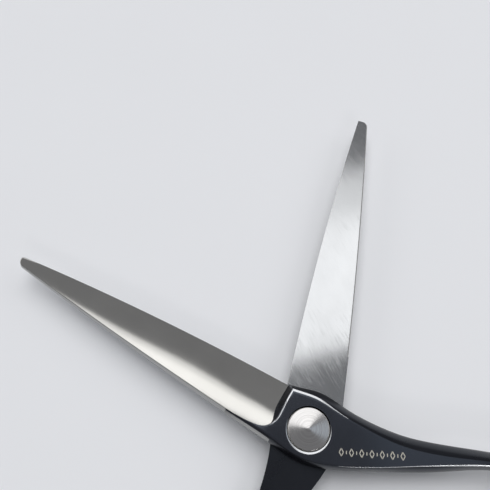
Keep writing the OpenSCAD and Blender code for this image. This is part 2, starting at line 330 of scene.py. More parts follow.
# %% World
room_level = 0.225
world = bpy.data.worlds.new("studio")
scene.world = world
world.use_nodes = True
background = world.node_tree.nodes["Background"]
background.inputs["Color"].default_value = (0.95, 0.96, 1, 1)
background.inputs["Strength"].default_value = room_level
scene.view_settings.view_transform = "Standard"
print("room level", room_level)

# %% [markdown]
# ## Materials
# Grain, turning marks and specks are shader node groups, built once. A group takes the coordinates
# of the piece, because the grain lies along the piece and not along the world, and gives back a
# height or a mask.

# %% Node helpers
def node_group(name, inputs, outputs):
    group = bpy.data.node_groups.new(name, "ShaderNodeTree")
    for label, kind, value in inputs:
        socket = group.interface.new_socket(name=label, in_out="INPUT", socket_type=kind)
        if value is not None:
            socket.default_value = value
    for label, kind in outputs:
        group.interface.new_socket(name=label, in_out="OUTPUT", socket_type=kind)
    return group, group.nodes.new("NodeGroupInput"), group.nodes.new("NodeGroupOutput")


def add(tree, kind, values=(), **settings):
    """A node with its settings, and with values or links for its sockets."""
    node = tree.nodes.new(kind)
    for key, value in settings.items():
        setattr(node, key, value)
    for key, value in dict(values).items():
        if isinstance(value, bpy.types.NodeSocket):
            tree.links.new(value, node.inputs[key])
        else:
            node.inputs[key].default_value = value
    return node


def maths(tree, operation, *values):
    return add(tree, "ShaderNodeMath", dict(enumerate(values)), operation=operation).outputs[0]


def remap(tree, value, low, high, to_low=0.0, to_high=1.0):
    values = {"Value": value, "From Min": low, "From Max": high, "To Min": to_low, "To Max": to_high}
    return add(tree, "ShaderNodeMapRange", values).outputs["Result"]


def noise(tree, scale, detail, **where):
    """Noise over a vector, or over one number if it is given as W."""
    values = {**where, "Scale": scale, "Detail": detail}
    kind = "1D" if "W" in where else "3D"
    return add(tree, "ShaderNodeTexNoise", values, noise_dimensions=kind).outputs[0]


def mix_colour(tree, factor, a, b):
    node = add(tree, "ShaderNodeMix", {"Factor": factor}, data_type="RGBA")
    for socket, value in ((node.inputs[6], a), (node.inputs[7], b)):
        if isinstance(value, bpy.types.NodeSocket):
            tree.links.new(value, socket)
        else:
            socket.default_value = (*value, 1)
    return node.outputs[2]

# %% [markdown]
# A finish is a Principled shader with values on its own sockets. Whatever changes over the
# surface is linked to Base Color, Roughness or Normal.

# %% Material helpers
def material(name, **principled):
    made = bpy.data.materials.new(name)
    made.use_nodes = True
    tree = made.node_tree
    shader = tree.nodes["Principled BSDF"]
    for key, value in principled.items():
        shader.inputs[key.replace("_", " ")].default_value = value
    return made, tree, shader


def place_group(tree, group, **values):
    node = tree.nodes.new("ShaderNodeGroup")
    node.node_tree = group
    for key, value in values.items():
        socket = node.inputs[key.replace("_", " ")]
        if isinstance(value, bpy.types.NodeSocket):
            tree.links.new(value, socket)
        else:
            socket.default_value = value
    return node

# %% [markdown]
# A grinding belt leaves fine parallel scratches. Noise squeezed many times along one direction
# looks like them, and a slower sample of the same noise gives patches where the belt bit harder.

# %% Grinding lines
def build_grain():
    """Fine scratches along one direction: noise squeezed along the grain."""
    group, gin, gout = node_group(
        "grinding_lines",
        [("Turn", "NodeSocketFloat", 0.0), ("Lines per mm", "NodeSocketFloat", 12.0),
         ("Stretch", "NodeSocketFloat", 30.0)],
        [("Height", "NodeSocketFloat"), ("Patches", "NodeSocketFloat")],
    )
    place = add(group, "ShaderNodeTexCoord").outputs["Object"]
    turned = add(group, "ShaderNodeVectorRotate", {"Vector": place, "Angle": gin.outputs["Turn"]},
                 rotation_type="Z_AXIS").outputs[0]
    per_m = maths(group, "MULTIPLY", gin.outputs["Lines per mm"], 1000.0)
    along = maths(group, "DIVIDE", per_m, gin.outputs["Stretch"])
    scale = add(group, "ShaderNodeCombineXYZ", {"X": along, "Y": per_m, "Z": per_m}).outputs[0]
    product = add(group, "ShaderNodeVectorMath", {0: turned, 1: scale}, operation="MULTIPLY")
    stretched = product.outputs[0]
    group.links.new(noise(group, 1.0, 3.0, Vector=stretched), gout.inputs["Height"])
    group.links.new(noise(group, 0.12, 2.0, Vector=stretched), gout.inputs["Patches"])
    return group

# %% [markdown]
# A lathe tool leaves rings about the axis. Noise over the radius alone makes them, and since the
# pivot is the world's own Z axis, the radius is the length of the point in plan.

# %% Turning marks
def build_turning():
    """Concentric tool marks about the pivot, as a lathe leaves them."""
    group, gin, gout = node_group(
        "turning_marks",
        [("Rings per mm", "NodeSocketFloat", 6.0)],
        [("Height", "NodeSocketFloat"), ("Bands", "NodeSocketFloat")],
    )
    place = add(group, "ShaderNodeTexCoord").outputs["Object"]
    parts = add(group, "ShaderNodeSeparateXYZ", {0: place})
    plan = {"X": parts.outputs["X"], "Y": parts.outputs["Y"]}
    flat = add(group, "ShaderNodeCombineXYZ", plan).outputs[0]
    radius = add(group, "ShaderNodeVectorMath", {0: flat}, operation="LENGTH").outputs["Value"]
    per_m = maths(group, "MULTIPLY", gin.outputs["Rings per mm"], 1000.0)
    rings = maths(group, "MULTIPLY", radius, per_m)
    group.links.new(noise(group, 1.0, 4.0, W=rings), gout.inputs["Height"])
    group.links.new(noise(group, 0.25, 2.0, W=rings), gout.inputs["Bands"])
    return group

# %% [markdown]
# Handled metal carries dust and a soft cloudiness. A cellular pattern with a small threshold
# makes sparse dots, and a slow noise makes the cloud.

# %% Specks and clouds
def build_specks():
    """Dust and tiny pits: sparse points of a fine cellular pattern."""
    group, gin, gout = node_group(
        "specks",
        [("Per mm", "NodeSocketFloat", 1.5), ("Amount", "NodeSocketFloat", 0.1)],
        [("Mask", "NodeSocketFloat"), ("Cloud", "NodeSocketFloat")],
    )
    place = add(group, "ShaderNodeTexCoord").outputs["Object"]
    scale = maths(group, "MULTIPLY", gin.outputs["Per mm"], 1000.0)
    cells = add(group, "ShaderNodeTexVoronoi", {"Vector": place, "Scale": scale})
    dots = remap(group, cells.outputs["Distance"], gin.outputs["Amount"], 0.0)
    cloud_scale = maths(group, "MULTIPLY", scale, 0.12)
    group.links.new(dots, gout.inputs["Mask"])
    group.links.new(noise(group, cloud_scale, 4.0, Vector=place), gout.inputs["Cloud"])
    return group


grinding_lines = build_grain()
turning_marks = build_turning()
specks = build_specks()
print([group.name for group in bpy.data.node_groups])

# %% [markdown]
# Blades are bare steel. The outer faces are polished along the blade, the inner faces are ground
# at a slant to it with a coarser wheel, and the spine is left duller. A low roughness with a
# little bump lets the panels show as soft bands instead of hard windows.

# %% Steel
def bump(tree, shader, height, depth, strength=1.0):
    """Depth is the real height of the relief, in metres."""
    node = add(tree, "ShaderNodeBump", {"Height": height, "Distance": depth, "Strength": strength})
    tree.links.new(node.outputs[0], shader.inputs["Normal"])


def ground_steel(name, turn_deg, lines, rough, tint, depth, streaks=0.0):
    """Bare ground steel, its grain at turn_deg in plan. Streaks add coarser scratches."""
    made, tree, shader = material(name, Metallic=1.0)
    stretch = 16.0 if streaks else 30.0
    lay = math.radians(-turn_deg)
    grain = place_group(tree, grinding_lines, Turn=lay, Lines_per_mm=lines, Stretch=stretch)
    dust = place_group(tree, specks, Per_mm=1.2, Amount=0.06)
    worn = [0.9 * value for value in tint]
    cloud = remap(tree, dust.outputs["Cloud"], 0.35, 0.7, 0.0, 0.6)
    tree.links.new(mix_colour(tree, cloud, tint, worn), shader.inputs["Base Color"])
    polish = remap(tree, grain.outputs["Patches"], 0.3, 0.7, rough[0], rough[1])
    scratched = remap(tree, grain.outputs["Height"], 0.5, 0.7, 0.0, streaks)
    tree.links.new(maths(tree, "ADD", polish, scratched), shader.inputs["Roughness"])
    bump(tree, shader, grain.outputs["Height"], depth)
    return made


def outer_steel(name, turn_deg):
    return ground_steel(name, turn_deg, 16, (0.13, 0.15), (0.66, 0.65, 0.62), 0.0000007)


def inner_steel(name, turn_deg):
    return ground_steel(name, turn_deg, 5.0, (0.09, 0.11), (0.6, 0.61, 0.62), 0.0000012, 0.065)


finger_face = outer_steel("polished_finger_face", 180)
finger_inner = inner_steel("ground_finger_inner", 135)
thumb_face = outer_steel("polished_thumb_face", 180 - opening)
thumb_inner = inner_steel("ground_thumb_inner", 147)
spine_steel = ground_steel("ground_spine", 0, 16, (0.25, 0.3), (0.38, 0.38, 0.37), 0.0000004)
edge_steel = ground_steel("polished_edge", 0, 16, (0.18, 0.2), (0.72, 0.73, 0.75), 0.0000002)

# %% [markdown]
# The screw and the dial are turned. The balls, the race and the spring are simply bright.

# %% Turned and bright steel
def turned_steel():
    made, tree, shader = material("turned_steel", Metallic=1.0, Base_Color=(0.62, 0.61, 0.6, 1))
    marks = place_group(tree, turning_marks, Rings_per_mm=14.0)
    roughness = remap(tree, marks.outputs["Bands"], 0.3, 0.7, 0.12, 0.15)
    rings = remap(tree, marks.outputs["Bands"], 0.4, 0.7)
    colour = mix_colour(tree, rings, (0.67, 0.66, 0.65), (0.58, 0.565, 0.56))
    tree.links.new(colour, shader.inputs["Base Color"])
    tree.links.new(roughness, shader.inputs["Roughness"])
    bump(tree, shader, marks.outputs["Height"], 0.0000004)
    return made


def bright_steel():
    made, tree, shader = material("bright_steel", Metallic=1.0, Base_Color=(0.7, 0.7, 0.7, 1))
    dust = place_group(tree, specks, Per_mm=4.0, Amount=0.1)
    tree.links.new(remap(tree, dust.outputs["Cloud"], 0.3, 0.7, 0.1, 0.22), shader.inputs["Roughness"])
    return made


turned_metal = turned_steel()
bright = bright_steel()

# %% [markdown]
# The coat is a thin, hard, nearly black layer that shines bluish. A dielectric with a high IOR
# gives that gloss without a clear coat on top. The walls and every other coated surface but the
# flat top get their own version: rougher, and also darker and less reflective, which is painted
# shade for surfaces that turn away from the light.

# %% Black coat
def black_coat(name, gloss, base, rough):
    """Thin hard coat: nearly black, bluish where it shines."""
    made, tree, shader = material(name, IOR=gloss, Specular_Tint=(0.77, 0.86, 1, 1))
    dust = place_group(tree, specks, Per_mm=0.9, Amount=0.05)
    cloud = dust.outputs["Cloud"]
    lighter = [1.5 * value for value in base]
    colour = mix_colour(tree, remap(tree, cloud, 0.3, 0.7), base, lighter)
    dots = maths(tree, "MULTIPLY", dust.outputs["Mask"], 0.15)
    speckled = mix_colour(tree, dots, colour, (0.2, 0.2, 0.2))
    tree.links.new(speckled, shader.inputs["Base Color"])
    tree.links.new(remap(tree, cloud, 0.3, 0.7, rough[0], rough[1]), shader.inputs["Roughness"])
    bump(tree, shader, cloud, 0.000003)
    return made


coat = black_coat("black_coat", 1.9, (0.006, 0.006, 0.0085), (0.13, 0.2))
# A darker, less reflective copy of the same coat for all but the flat top: painted shade.
shaded_wall_coat = black_coat("black_coat_walls_painted_shade", 1.5, (0.004, 0.004, 0.0055), (0.24, 0.34))

# %% [markdown]
# The hidden bush is sintered bronze, the washers and the ball cage are nylon, and the inserts and
# the bumper are soft. One function serves all of them: two near tones, a dull surface and a fine
# pebbling.

# %% Bronze, nylon and rubber
def plain_soft(name, colour, darker, rough, per_mm, depth):
    made, tree, shader = material(name)
    dust = place_group(tree, specks, Per_mm=per_mm, Amount=0.35)
    tree.links.new(mix_colour(tree, dust.outputs["Cloud"], colour, darker), shader.inputs["Base Color"])
    dulled = remap(tree, dust.outputs["Cloud"], 0.3, 0.7, rough - 0.06, rough + 0.06)
    tree.links.new(dulled, shader.inputs["Roughness"])
    bump(tree, shader, dust.outputs["Mask"], depth)
    return made


bronze = plain_soft("sintered_bronze", (0.45, 0.28, 0.13), (0.36, 0.21, 0.09), 0.4, 8.0, 0.000006)
bronze.node_tree.nodes["Principled BSDF"].inputs["Metallic"].default_value = 1.0
nylon = plain_soft("nylon", (0.8, 0.79, 0.75), (0.74, 0.72, 0.67), 0.5, 3.0, 0.000004)
insert_rubber = plain_soft(
    "insert_rubber", (0.03, 0.03, 0.033), (0.045, 0.045, 0.048), 0.6, 4.0, 0.000012
)
bumper_rubber = plain_soft(
    "bumper_rubber", (0.07, 0.07, 0.075), (0.1, 0.1, 0.105), 0.65, 5.0, 0.000012
)
etch = plain_soft("etched_mark", (0.5, 0.48, 0.42), (0.42, 0.4, 0.35), 0.55, 6.0, 0.000003)
print(len(bpy.data.materials), "materials,", len(bpy.data.node_groups), "groups")

# %% [markdown]
# ## Blades
# A shear blade is a long wedge. Its outer face is one convex arc from the ridge near the spine
# down to the cutting edge, its spine is ground off at a steep angle, and its inner face is
# hollowed by about a hundredth of a millimetre, so that the blades touch only along their edges.
# A loft of closely set cross sections gives exactly that.

# %% Blade outline
edge_at_pivot = 5.1
spine_at_pivot = 5.4
ridge_root = 2.3
ridge_tip = 0.95
tip_round = 1.1


def edge_y(x):
    return edge_at_pivot + 0.0155 * x - 0.00078 * x * x


def spine_y(x):
    d = min(x + tip_reach, tip_round)
    trim = tip_round - math.sqrt(max(tip_round**2 - (tip_round - d) ** 2, 0))
    return -spine_at_pivot - 0.0335 * x + 0.00049 * x * x + trim


def along(x):
    return (x + tip_reach) / tip_reach


def ridge_y(x):
    return spine_y(x) + 0.3 + 0.45 * along(x)


def ridge_z(x):
    return ridge_tip + (ridge_root - ridge_tip) * along(x) ** 0.9


def face_z(x, y):
    across = (y - ridge_y(x)) / (edge_y(x) - ridge_y(x))
    t = min(max(across, 0), 1)
    crowned = 1 - 0.5 * smooth_step((along(x) - 0.45) / 0.35)
    fall = 1 / (1 - crowned / 2)
    height = 1 - fall * t * t / (2 * crowned) if t < crowned else fall * (1 - t)
    return 0.04 + (ridge_z(x) - 0.04) * height

# %% [markdown]
# One section runs from the cutting edge over the crowned face to the ridge, down the spine and
# back along the inner face. Each strip carries its own finish. Near the root the crown turns into
# a flat bevel sooner, as the wheel meets the shoulder there. Sections crowd at the tip, where the
# outline is round.

# %% Blade sections
hollow = 0.008
spine_chamfer = 0.2
ridge_lip = 0.08
face_steps = 44
inner_steps = 20


def blade_section(x):
    """Points round one section, and the finish of the strip that follows each point."""
    edge, ridge, spine = edge_y(x), ridge_y(x), spine_y(x)
    top = ridge_z(x)
    section, finish = [(edge, 0.0)], [0]
    for k in range(face_steps + 1):
        y = edge + (ridge + ridge_lip - edge) * k / face_steps
        section.append((y, face_z(x, y)))
        finish.append(0)
    finish[-1] = 2
    section += [(ridge - 0.02, top - ridge_lip), (spine, 0.28 * top), (spine, spine_chamfer)]
    finish += [2, 2, 2]
    inner_start = min(spine + spine_chamfer, edge - 0.3)
    for k in range(inner_steps + 1):
        t = k / inner_steps
        section.append((inner_start + (edge - 0.02 - inner_start) * t, 4 * hollow * t * (1 - t)))
        finish.append(1)
    return [(x, y, z) for y, z in section], finish


def blade_stations():
    tip_steps = [0, 0.06, 0.15, 0.28, 0.45, 0.65, 0.85, 1.1]
    body = [1.1 + (tip_reach - 6) * (k / 110) for k in range(1, 111)]
    return [-tip_reach + d for d in tip_steps + body]


print(len(blade_stations()), "sections of", len(blade_section(-tip_reach / 2)[0]), "points")

# %% [markdown]
# The blade ends at the handle's shoulder. The shoulder's foot runs straight across the blade,
# turns a corner and dies out along the spine, and its crest does the same a millimetre further
# back. The space in front of it is one solid, which trims the blade and cuts the handle.

# %% Shoulder
wedge_x = -14.0
far = 12.0
foot_keys = [
    (-6.6, far), (-6.6, 5.2), (-6.65, 2.6), (-6.6, 0.6), (-6.3, -0.9), (-6.05, -1.7),
    (-6.15, -2.5), (-7, -3.35), (-8.4, -3.8), (-10.5, -4.05), (wedge_x, -4.2),
]
crest_keys = [
    (-5.45, far), (-5.45, 5.2), (-5.5, 2.6), (-5.46, 0.6), (-5.46, -0.9), (-5.68, -1.75),
    (-6.06, -2.55), (-6.96, -3.4), (-8.37, -3.85), (-10.5, -4.1), (wedge_x, -4.25),
]
rim_keys = [
    (-5.17, far), (-5.17, 5.2), (-5.22, 2.6), (-5.2, 0.6), (-5.2, -0.9), (-5.46, -1.85),
    (-5.93, -2.65), (-6.9, -3.48), (-8.34, -3.93), (-10.5, -4.18), (wedge_x, -4.33),
]


def plan_line(keys):
    """Smooth line in plan through key points, closed round the front of the shoulder."""
    xs = list(enumerate(key[0] for key in keys))
    ys = list(enumerate(key[1] for key in keys))
    per_key = 8
    steps = per_key * (len(keys) - 1)
    line = [(curve(xs, k / per_key), curve(ys, k / per_key)) for k in range(steps + 1)]
    return [(-80, far)] + line + [(wedge_x, -far), (-80, -far)]


def shoulder_solid(low, high, leaning):
    """Solid in front of the shoulder, upright or leaning back from foot to crest."""
    foot, crest, rim = plan_line(foot_keys), plan_line(crest_keys), plan_line(rim_keys)
    rows = [[(x, y, low) for x, y in foot]]
    if leaning:
        levels = [min(face_z(x, y), half_t - 0.2) if abs(y) < far and x > -79 else 0.5 for x, y in foot]
        top = half_t - 0.06
        steps = 8
        for k in range(steps + 1):
            t = k / steps
            rise = 0.45 * t + 0.55 * smooth_step(t)
            rows.append([
                (fx + (cx - fx) * t, fy + (cy - fy) * t, level + (top - level) * rise)
                for (fx, fy), (cx, cy), level in zip(foot, crest, levels)
            ])
        rows.append([(x, y, half_t + 0.004) for x, y in rim])
        rows.append([(x, y, high) for x, y in rim])
    else:
        rows.append([(x, y, high) for x, y in foot])
    points, faces = solid_loft(rows)
    lip_row = len(rows) - 3
    slot_of = [1 if leaning and i // len(foot) == lip_row else 0 for i in range(len(faces))]
    return mesh_object("shoulder_tool", points, faces, slots=(shaded_wall_coat, edge_steel), slot_of=slot_of)

# %% [markdown]
# Both blades come from the same sections. The lower one is the upper one turned over and swung
# open, so the pair lies inner face to inner face, as it must to cut.

# %% Make the blades
def make_blade(name, place, body, face, inner):
    sections, finish = [], None
    for x in blade_stations():
        section, finish = blade_section(x)
        sections.append(section)
    points, faces = solid_loft(sections)
    count = len(finish)
    slot_of = [finish[i % count] for i in range(len(faces) - 2)] + [2, 2]
    blade = mesh_object(name, points, faces, slots=(face, inner, spine_steel), slot_of=slot_of)
    combine(blade, shoulder_solid(-2, 6, leaning=False), "INTERSECT")
    blade.data.transform(place)
    return finish_piece(blade, body, [name], sharp=14)


make_blade("finger_blade", finger_place, "finger_half", finger_face, finger_inner)
make_blade("thumb_blade", thumb_place, "thumb_half", thumb_face, thumb_inner)

# %% [markdown]
# ## Handles
# Block, shank and ring are one forging, so they are one skin. The way to get a soft, forged shape
# in Blender is a coarse cage and a subdivision surface: closed sections run from the block down
# the shank, and their last loop grows out of the side of the ring, where a patch of the ring's
# cage has been left open for it. What a machine cuts on the real part, the shoulder, the screw's
# well and the bores, is cut afterwards, so it stays crisp.

# %% Handle outline
cut_side = [
    (-14, 4.6), (-6.6, 5.1), (-1, 6.7), (6, 6.3), (14, 7.1), (20, 8.95), (28, 12.1),
    (36, 14.9), (44, 17.3), (49, 18.4),
]
spine_side = [
    (-14, -4.9), (-6, -5.2), (1, -5.5), (6, -3.95), (13.5, 0.1), (20.7, 4.15), (28.5, 9.2),
    (36, 11.8), (44, 13.2), (49, 12.9),
]
cut_crease = [
    (-14, 3.6), (-6.6, 3.95), (-3.2, 4.68), (-0.8, 5.1), (2, 4.9), (5, 4.75), (14, 5.2),
    (20.4, 7), (28, 10.3), (36, 13.5), (44, 15.6), (49, 16.4),
]
spine_crease = [
    (-14, -4.1), (-6.6, -4.3), (1, -4.7), (6, -3.2), (10.7, -0.75), (14.2, 1.3), (19.6, 4.75),
    (25, 8), (28, 9.8), (36, 12.9), (44, 14.7), (49, 14.9),
]
shank_fixed = 14
shank_end = 49
ring_at_rest = 60.7
print("block", round(cut_side[2][1] - spine_side[2][1], 1), "mm wide, shank ends at", shank_end)

# %% [markdown]
# A section has sixteen points: a flat top between two creases, a narrow lip outside each crease,
# sloping shoulders, upright walls and a flat underside. Along the shank the walls melt into a
# rounded bar and the underside drops to the ring's height.

# %% Handle sections
def handle_section(x, slim):
    """Sixteen points round one section of the block or shank."""
    cut, spine = curve(cut_side, x), curve(spine_side, x)
    cut -= slim * smooth_step((x + 2) / 5) * (1 - smooth_step((x - 16) / 10))
    cut_c, spine_c = curve(cut_crease, x), curve(spine_crease, x)
    low = -2.2 * smooth_step((x - 16) / 28)
    high = half_t - 0.6 * (1 - smooth_step((x + 14) / 8)) - 0.4 * smooth_step((x - 30) / 19)
    wall = 0.9 - 0.5 * smooth_step((x - 16) / 30)
    b = 0.05 + 0.9 * smooth_step((x - 14) / 20)
    top = spine_c - cut_c
    bottom = spine - cut + 2 * b
    cut_lip = 0.03 + 0.33 * (1 - smooth_step((x + 2) / 8))
    spine_lip = 0.05 + 0.22 * smooth_step((x - 12) / 14)
    cut_shelf = max(0.4 * (cut - cut_c), cut_lip + 0.08)
    spine_shelf = max(0.4 * (spine_c - spine), spine_lip + 0.08)
    return [
        (cut - b, low), (cut, low + b), (cut, wall), (cut_c + cut_shelf, high - 0.35),
        (cut_c + cut_lip, high - 0.15 * cut_lip), (cut_c, high),
        (cut_c + top / 3, high), (cut_c + 2 * top / 3, high), (spine_c, high),
        (spine_c - spine_lip, high - 0.5 * spine_lip), (spine_c - spine_shelf, high - 0.3),
        (spine, wall + 0.4), (spine, low + b), (spine + b, low),
        (spine + b - bottom / 3, low), (spine + b - 2 * bottom / 3, low),
    ]

# %% [markdown]
# The ring is a closed loop of ten-sided sections. A subdivision surface shrinks towards its cage,
# so the cage is swollen by just as much. A patch of faces is left out where the shank or the boss
# will join.

# %% Ring cage
ring_segments = 28
ring_step = 2 * math.pi / ring_segments
ring_swell = 2.9995 / (2 + math.cos(ring_step))
ring_profile = [
    (10.8, -2.0), (10.8, 2.0), (11.45, 2.55), (12.9, 2.6), (13.75, 2.0), (14.2, 0.75),
    (14.2, -0.75), (13.75, -2.0), (12.9, -2.6), (11.45, -2.55),
]
outer_first, outer_last = 3, 8
print("ring", 2 * ring_profile[0][0], "to", 2 * ring_profile[5][0], "mm across")


class Cage:
    """Points and faces of a subdivision cage, with creases by edge."""

    def __init__(self):
        self.points, self.faces, self.slots, self.creases = [], [], [], {}

    def add_loop(self, loop):
        first = len(self.points)
        self.points += loop
        return [first + k for k in range(len(loop))]

    def face(self, *corners, slot=0):
        self.faces.append(corners)
        self.slots.append(slot)

    def bridge(self, a, b, slots=None):
        for k in range(len(a)):
            n = (k + 1) % len(a)
            self.face(a[k], a[n], b[n], b[k], slot=slots[k] if slots else 0)

    def crease(self, a, b, value):
        self.creases[frozenset((a, b))] = value


def ring_loops(cage, centre):
    """Places the ring's points and returns index[k][j]; k = 0 straddles the line towards the pivot."""
    loops = []
    for k in range(ring_segments):
        angle = math.pi + (k - 0.5) * ring_step
        cos, sin = math.cos(angle), math.sin(angle)
        loops.append(cage.add_loop([
            (centre.x + r * ring_swell * cos, centre.y + r * ring_swell * sin, centre.z + z)
            for r, z in ring_profile
        ]))
    return loops


def patch_border(loops, first_k, last_k):
    """The loop round a patch left open on the ring's outside, starting low on the first side."""
    n = len(loops)
    first, last = loops[first_k % n], loops[last_k % n]
    up = [first[j] for j in range(outer_last, outer_first - 1, -1)]
    top = [loops[k % n][outer_first] for k in range(first_k + 1, last_k)]
    down = [last[j] for j in range(outer_first, outer_last + 1)]
    bottom = [loops[k % n][outer_last] for k in range(last_k - 1, first_k, -1)]
    return up + top + down + bottom


def ring_faces(cage, loops, patches):
    n, m = len(loops), len(ring_profile)
    for k in range(n):
        open_here = any((k - a) % n < b - a for a, b in patches)
        for j in range(m):
            if open_here and outer_first <= j < outer_last:
                continue
            a, b = loops[k], loops[(k + 1) % n]
            cage.face(a[j], a[(j + 1) % m], b[(j + 1) % m], b[j])
        for j in (0, 1):
            cage.crease(loops[k][j], loops[(k + 1) % n][j], 1.0)

# %% [markdown]
# The cage keeps its loops two millimetres apart at the block, where shape matters most, and wider
# down the shank. Creases hold the block's edges and fade out where the forging gets soft.

# %% Handle cage
stations = list(range(-17, 17, 2)) + [17.5] + list(range(20, 42, 3))
cut_lip_ends = 5
lower_lip_starts = 9
spine_strip_ends = -5
bare_inside_ends = 3


def handle_cage(centre, slim, boss_angle=None):
    cage = Cage()
    stretch = (shank_end - shank_fixed + centre.x - ring_at_rest) / (shank_end - shank_fixed)
    previous = None
    for x in stations:
        px = x if x < shank_fixed else shank_fixed + (x - shank_fixed) * stretch
        loop = cage.add_loop([(px, y, z) for y, z in handle_section(x, slim)])
        if previous:
            slots = [0] * len(loop)
            slots[5] = slots[6] = slots[7] = 4
            slots[4] = 1 if x <= cut_lip_ends else 0
            slots[8] = 1 if x >= lower_lip_starts else 0
            slots[10] = slots[11] = 3 if x <= spine_strip_ends else 0
            slots[13] = slots[14] = slots[15] = 2 if x <= bare_inside_ends else 0
            cage.bridge(previous, loop, slots)
            soft = smooth_step((x - 20) / 18)
            for row in (0, 1, 4, 5, 8, 9, 12, 13):
                cage.crease(previous[row], loop[row], 1 - soft)
            for row in (10, 11):
                cage.crease(previous[row], loop[row], 0.8 if x <= spine_strip_ends else 0)
        else:
            cage.face(*loop)
        previous = loop
    loops = ring_loops(cage, centre)
    patches = [(-1, 2)]
    # The ring's angle grows away from the cutting side, so the patch is read from its far end
    border = patch_border(loops, -1, 2)
    cage.bridge(previous, border)
    if boss_angle is not None:
        middle = round((math.radians(boss_angle) - math.pi) / ring_step + 0.5)
        patches.append(((middle - 1) % ring_segments, (middle - 1) % ring_segments + 2))
        add_boss(cage, patch_border(loops, middle - 1, middle + 1), centre, boss_angle)
    ring_faces(cage, loops, patches)
    return cage

# %% [markdown]
# The creases are stored on the mesh and the subdivision surface is applied, since the cuts that
# follow need real faces.

# %% Handle skin
def cage_surface(name, cage, slots, levels=3):
    obj = mesh_object(name, cage.points, cage.faces, slots=slots, slot_of=cage.slots)
    crease = obj.data.attributes.new("crease_edge", "FLOAT", "EDGE")
    for edge in obj.data.edges:
        crease.data[edge.index].value = cage.creases.get(frozenset(edge.vertices), 0.0)
    smooth = obj.modifiers.new("forged_skin", "SUBSURF")
    smooth.levels = smooth.render_levels = levels
    return bake_modifiers(obj)

# %% [markdown]
# The finger rest screws into a small boss on the finger ring. The boss grows out of the ring's
# cage in the same way as the shank does, which gives it a natural fillet.

# %% Boss for the finger rest
rest_turn = 32
boss_r = 2.4
boss_end = 15.2


def add_boss(cage, border, centre, degrees):
    angle = math.radians(degrees)
    out = Vector((math.cos(angle), math.sin(angle), 0))
    side = Vector((-math.sin(angle), math.cos(angle), 0))
    count = len(border)
    loops = []
    for radius, reach in ((boss_r + 0.25, boss_end - 0.45), (boss_r * 1.02, boss_end)):
        ring = []
        for k in range(count):
            # the border starts low on the side with the smaller angle and climbs
            spoke = math.radians(-125 - 360 * k / count)
            lift = Vector((0, 0, radius * math.sin(spoke)))
            ring.append(tuple(centre + out * reach + side * (radius * math.cos(spoke)) + lift))
        loops.append(cage.add_loop(ring))
    cage.bridge(border, loops[0])
    cage.bridge(loops[0], loops[1])
    cage.face(*loops[1])
    for k in range(count):
        cage.crease(loops[1][k], loops[1][(k + 1) % count], 0.9)

# %% [markdown]
# The screw's well, the bush's bore and the dial's cup are turned cuts. Their radii are a little
# larger than the parts that go in, as on the real pair.

# %% Cutting tools
well_r = 3.75
floor_t = 1.0
bush_r = 2.5
cup_r = 4.1
cup_depth = 1.0


def weld(obj):
    """Joins the points that fall together on a lathe's axis."""
    edit = bmesh.new()
    edit.from_mesh(obj.data)
    bmesh.ops.remove_doubles(edit, verts=edit.verts, dist=0.00001)
    bmesh.ops.recalc_face_normals(edit, faces=edit.faces)
    edit.to_mesh(obj.data)
    edit.free()
    return obj


def drum(name, radius, low, high):
    """Plain round cutter."""
    points, faces = lathe([(0, low), (radius, low), (radius, high), (0, high)], 160)
    return weld(mesh_object(name, points, faces, slots=(shaded_wall_coat,)))

# %% [markdown]
# The machined rim round the well is bare metal. Its cone sits slightly off centre, so the rim is
# wide on one side and vanishes on the other. The shoulder's sloping tool comes first, then the
# round ones.

# %% Rim and machining
def rim_tool():
    """Shallow cone a little off the well's centre, which leaves a crescent of bare metal."""
    reach = 3.84
    points, faces = lathe([(0, half_t - 0.16 * reach), (reach, half_t), (reach + 0.05, 4), (0, 4)], 160)
    shift, towards = 0.22, math.radians(292)
    off = Vector((shift * math.cos(towards), shift * math.sin(towards), 0))
    obj = mesh_object("rim", [Vector(p) + off for p in points], faces, slots=(edge_steel,))
    return weld(obj)


def machine_handle(handle, cuts):
    combine(handle, shoulder_solid(-3, half_t + 2, leaning=True), "DIFFERENCE")
    for tool in cuts:
        combine(handle, tool, "DIFFERENCE")

# %% [markdown]
# The skins are cut in their own millimetres and then moved into place. The finger half gets the
# well and the bore, and the thumb half gets the dial's cup and the hole for the screw's neck.

# %% Make the handles
def handle_slots(inner):
    return (shaded_wall_coat, edge_steel, inner, spine_steel, coat)


finger_cage = handle_cage(finger_ring, 0, rest_turn)
finger_handle = cage_surface("finger_handle", finger_cage, handle_slots(finger_inner))
finger_cuts = [rim_tool(), drum("well", well_r, floor_t, 6), drum("bore", bush_r, -2, 4)]
machine_handle(finger_handle, finger_cuts)
finger_handle.data.transform(finger_place)
finish_piece(finger_handle, "finger_half", ["finger_handle"], sharp=30)

thumb_slimmer = 0.5
neck_bore_r = 2.04
thumb_cage = handle_cage(thumb_ring, thumb_slimmer)
thumb_handle = cage_surface("thumb_handle", thumb_cage, handle_slots(thumb_inner))
thumb_cuts = [drum("cup", cup_r, half_t - cup_depth, 6), drum("neck", neck_bore_r, -2, 4)]
machine_handle(thumb_handle, thumb_cuts)
thumb_handle.data.transform(thumb_place)
finish_piece(thumb_handle, "thumb_half", ["thumb_handle"], sharp=30)

# %% [markdown]
# ## Pivot screw
# The screw is a turned part, so it is a lathe profile: a flat cone for the head with a tiny
# centre mark, a journal, a neck with two flats that keep it from turning in the lower half, and a
# thread. The thread is a real helix, made by letting the radius follow the angle. The cone is
# what gives the head its bright and dark sectors.

# %% Pivot screw
screw_low, screw_top = (corner.z for corner in box_mm("pivot_screw"))
head_r = 3.5
head_edge = screw_top - 0.32
head_under = head_edge - 0.58
journal_r = 2.0
flat_half = 1.55
thread_r = 1.6
neck_z = 1.95
stop_bore = 0.74
print("screw head", 2 * head_r, "mm across, top at", round(screw_top, 2))

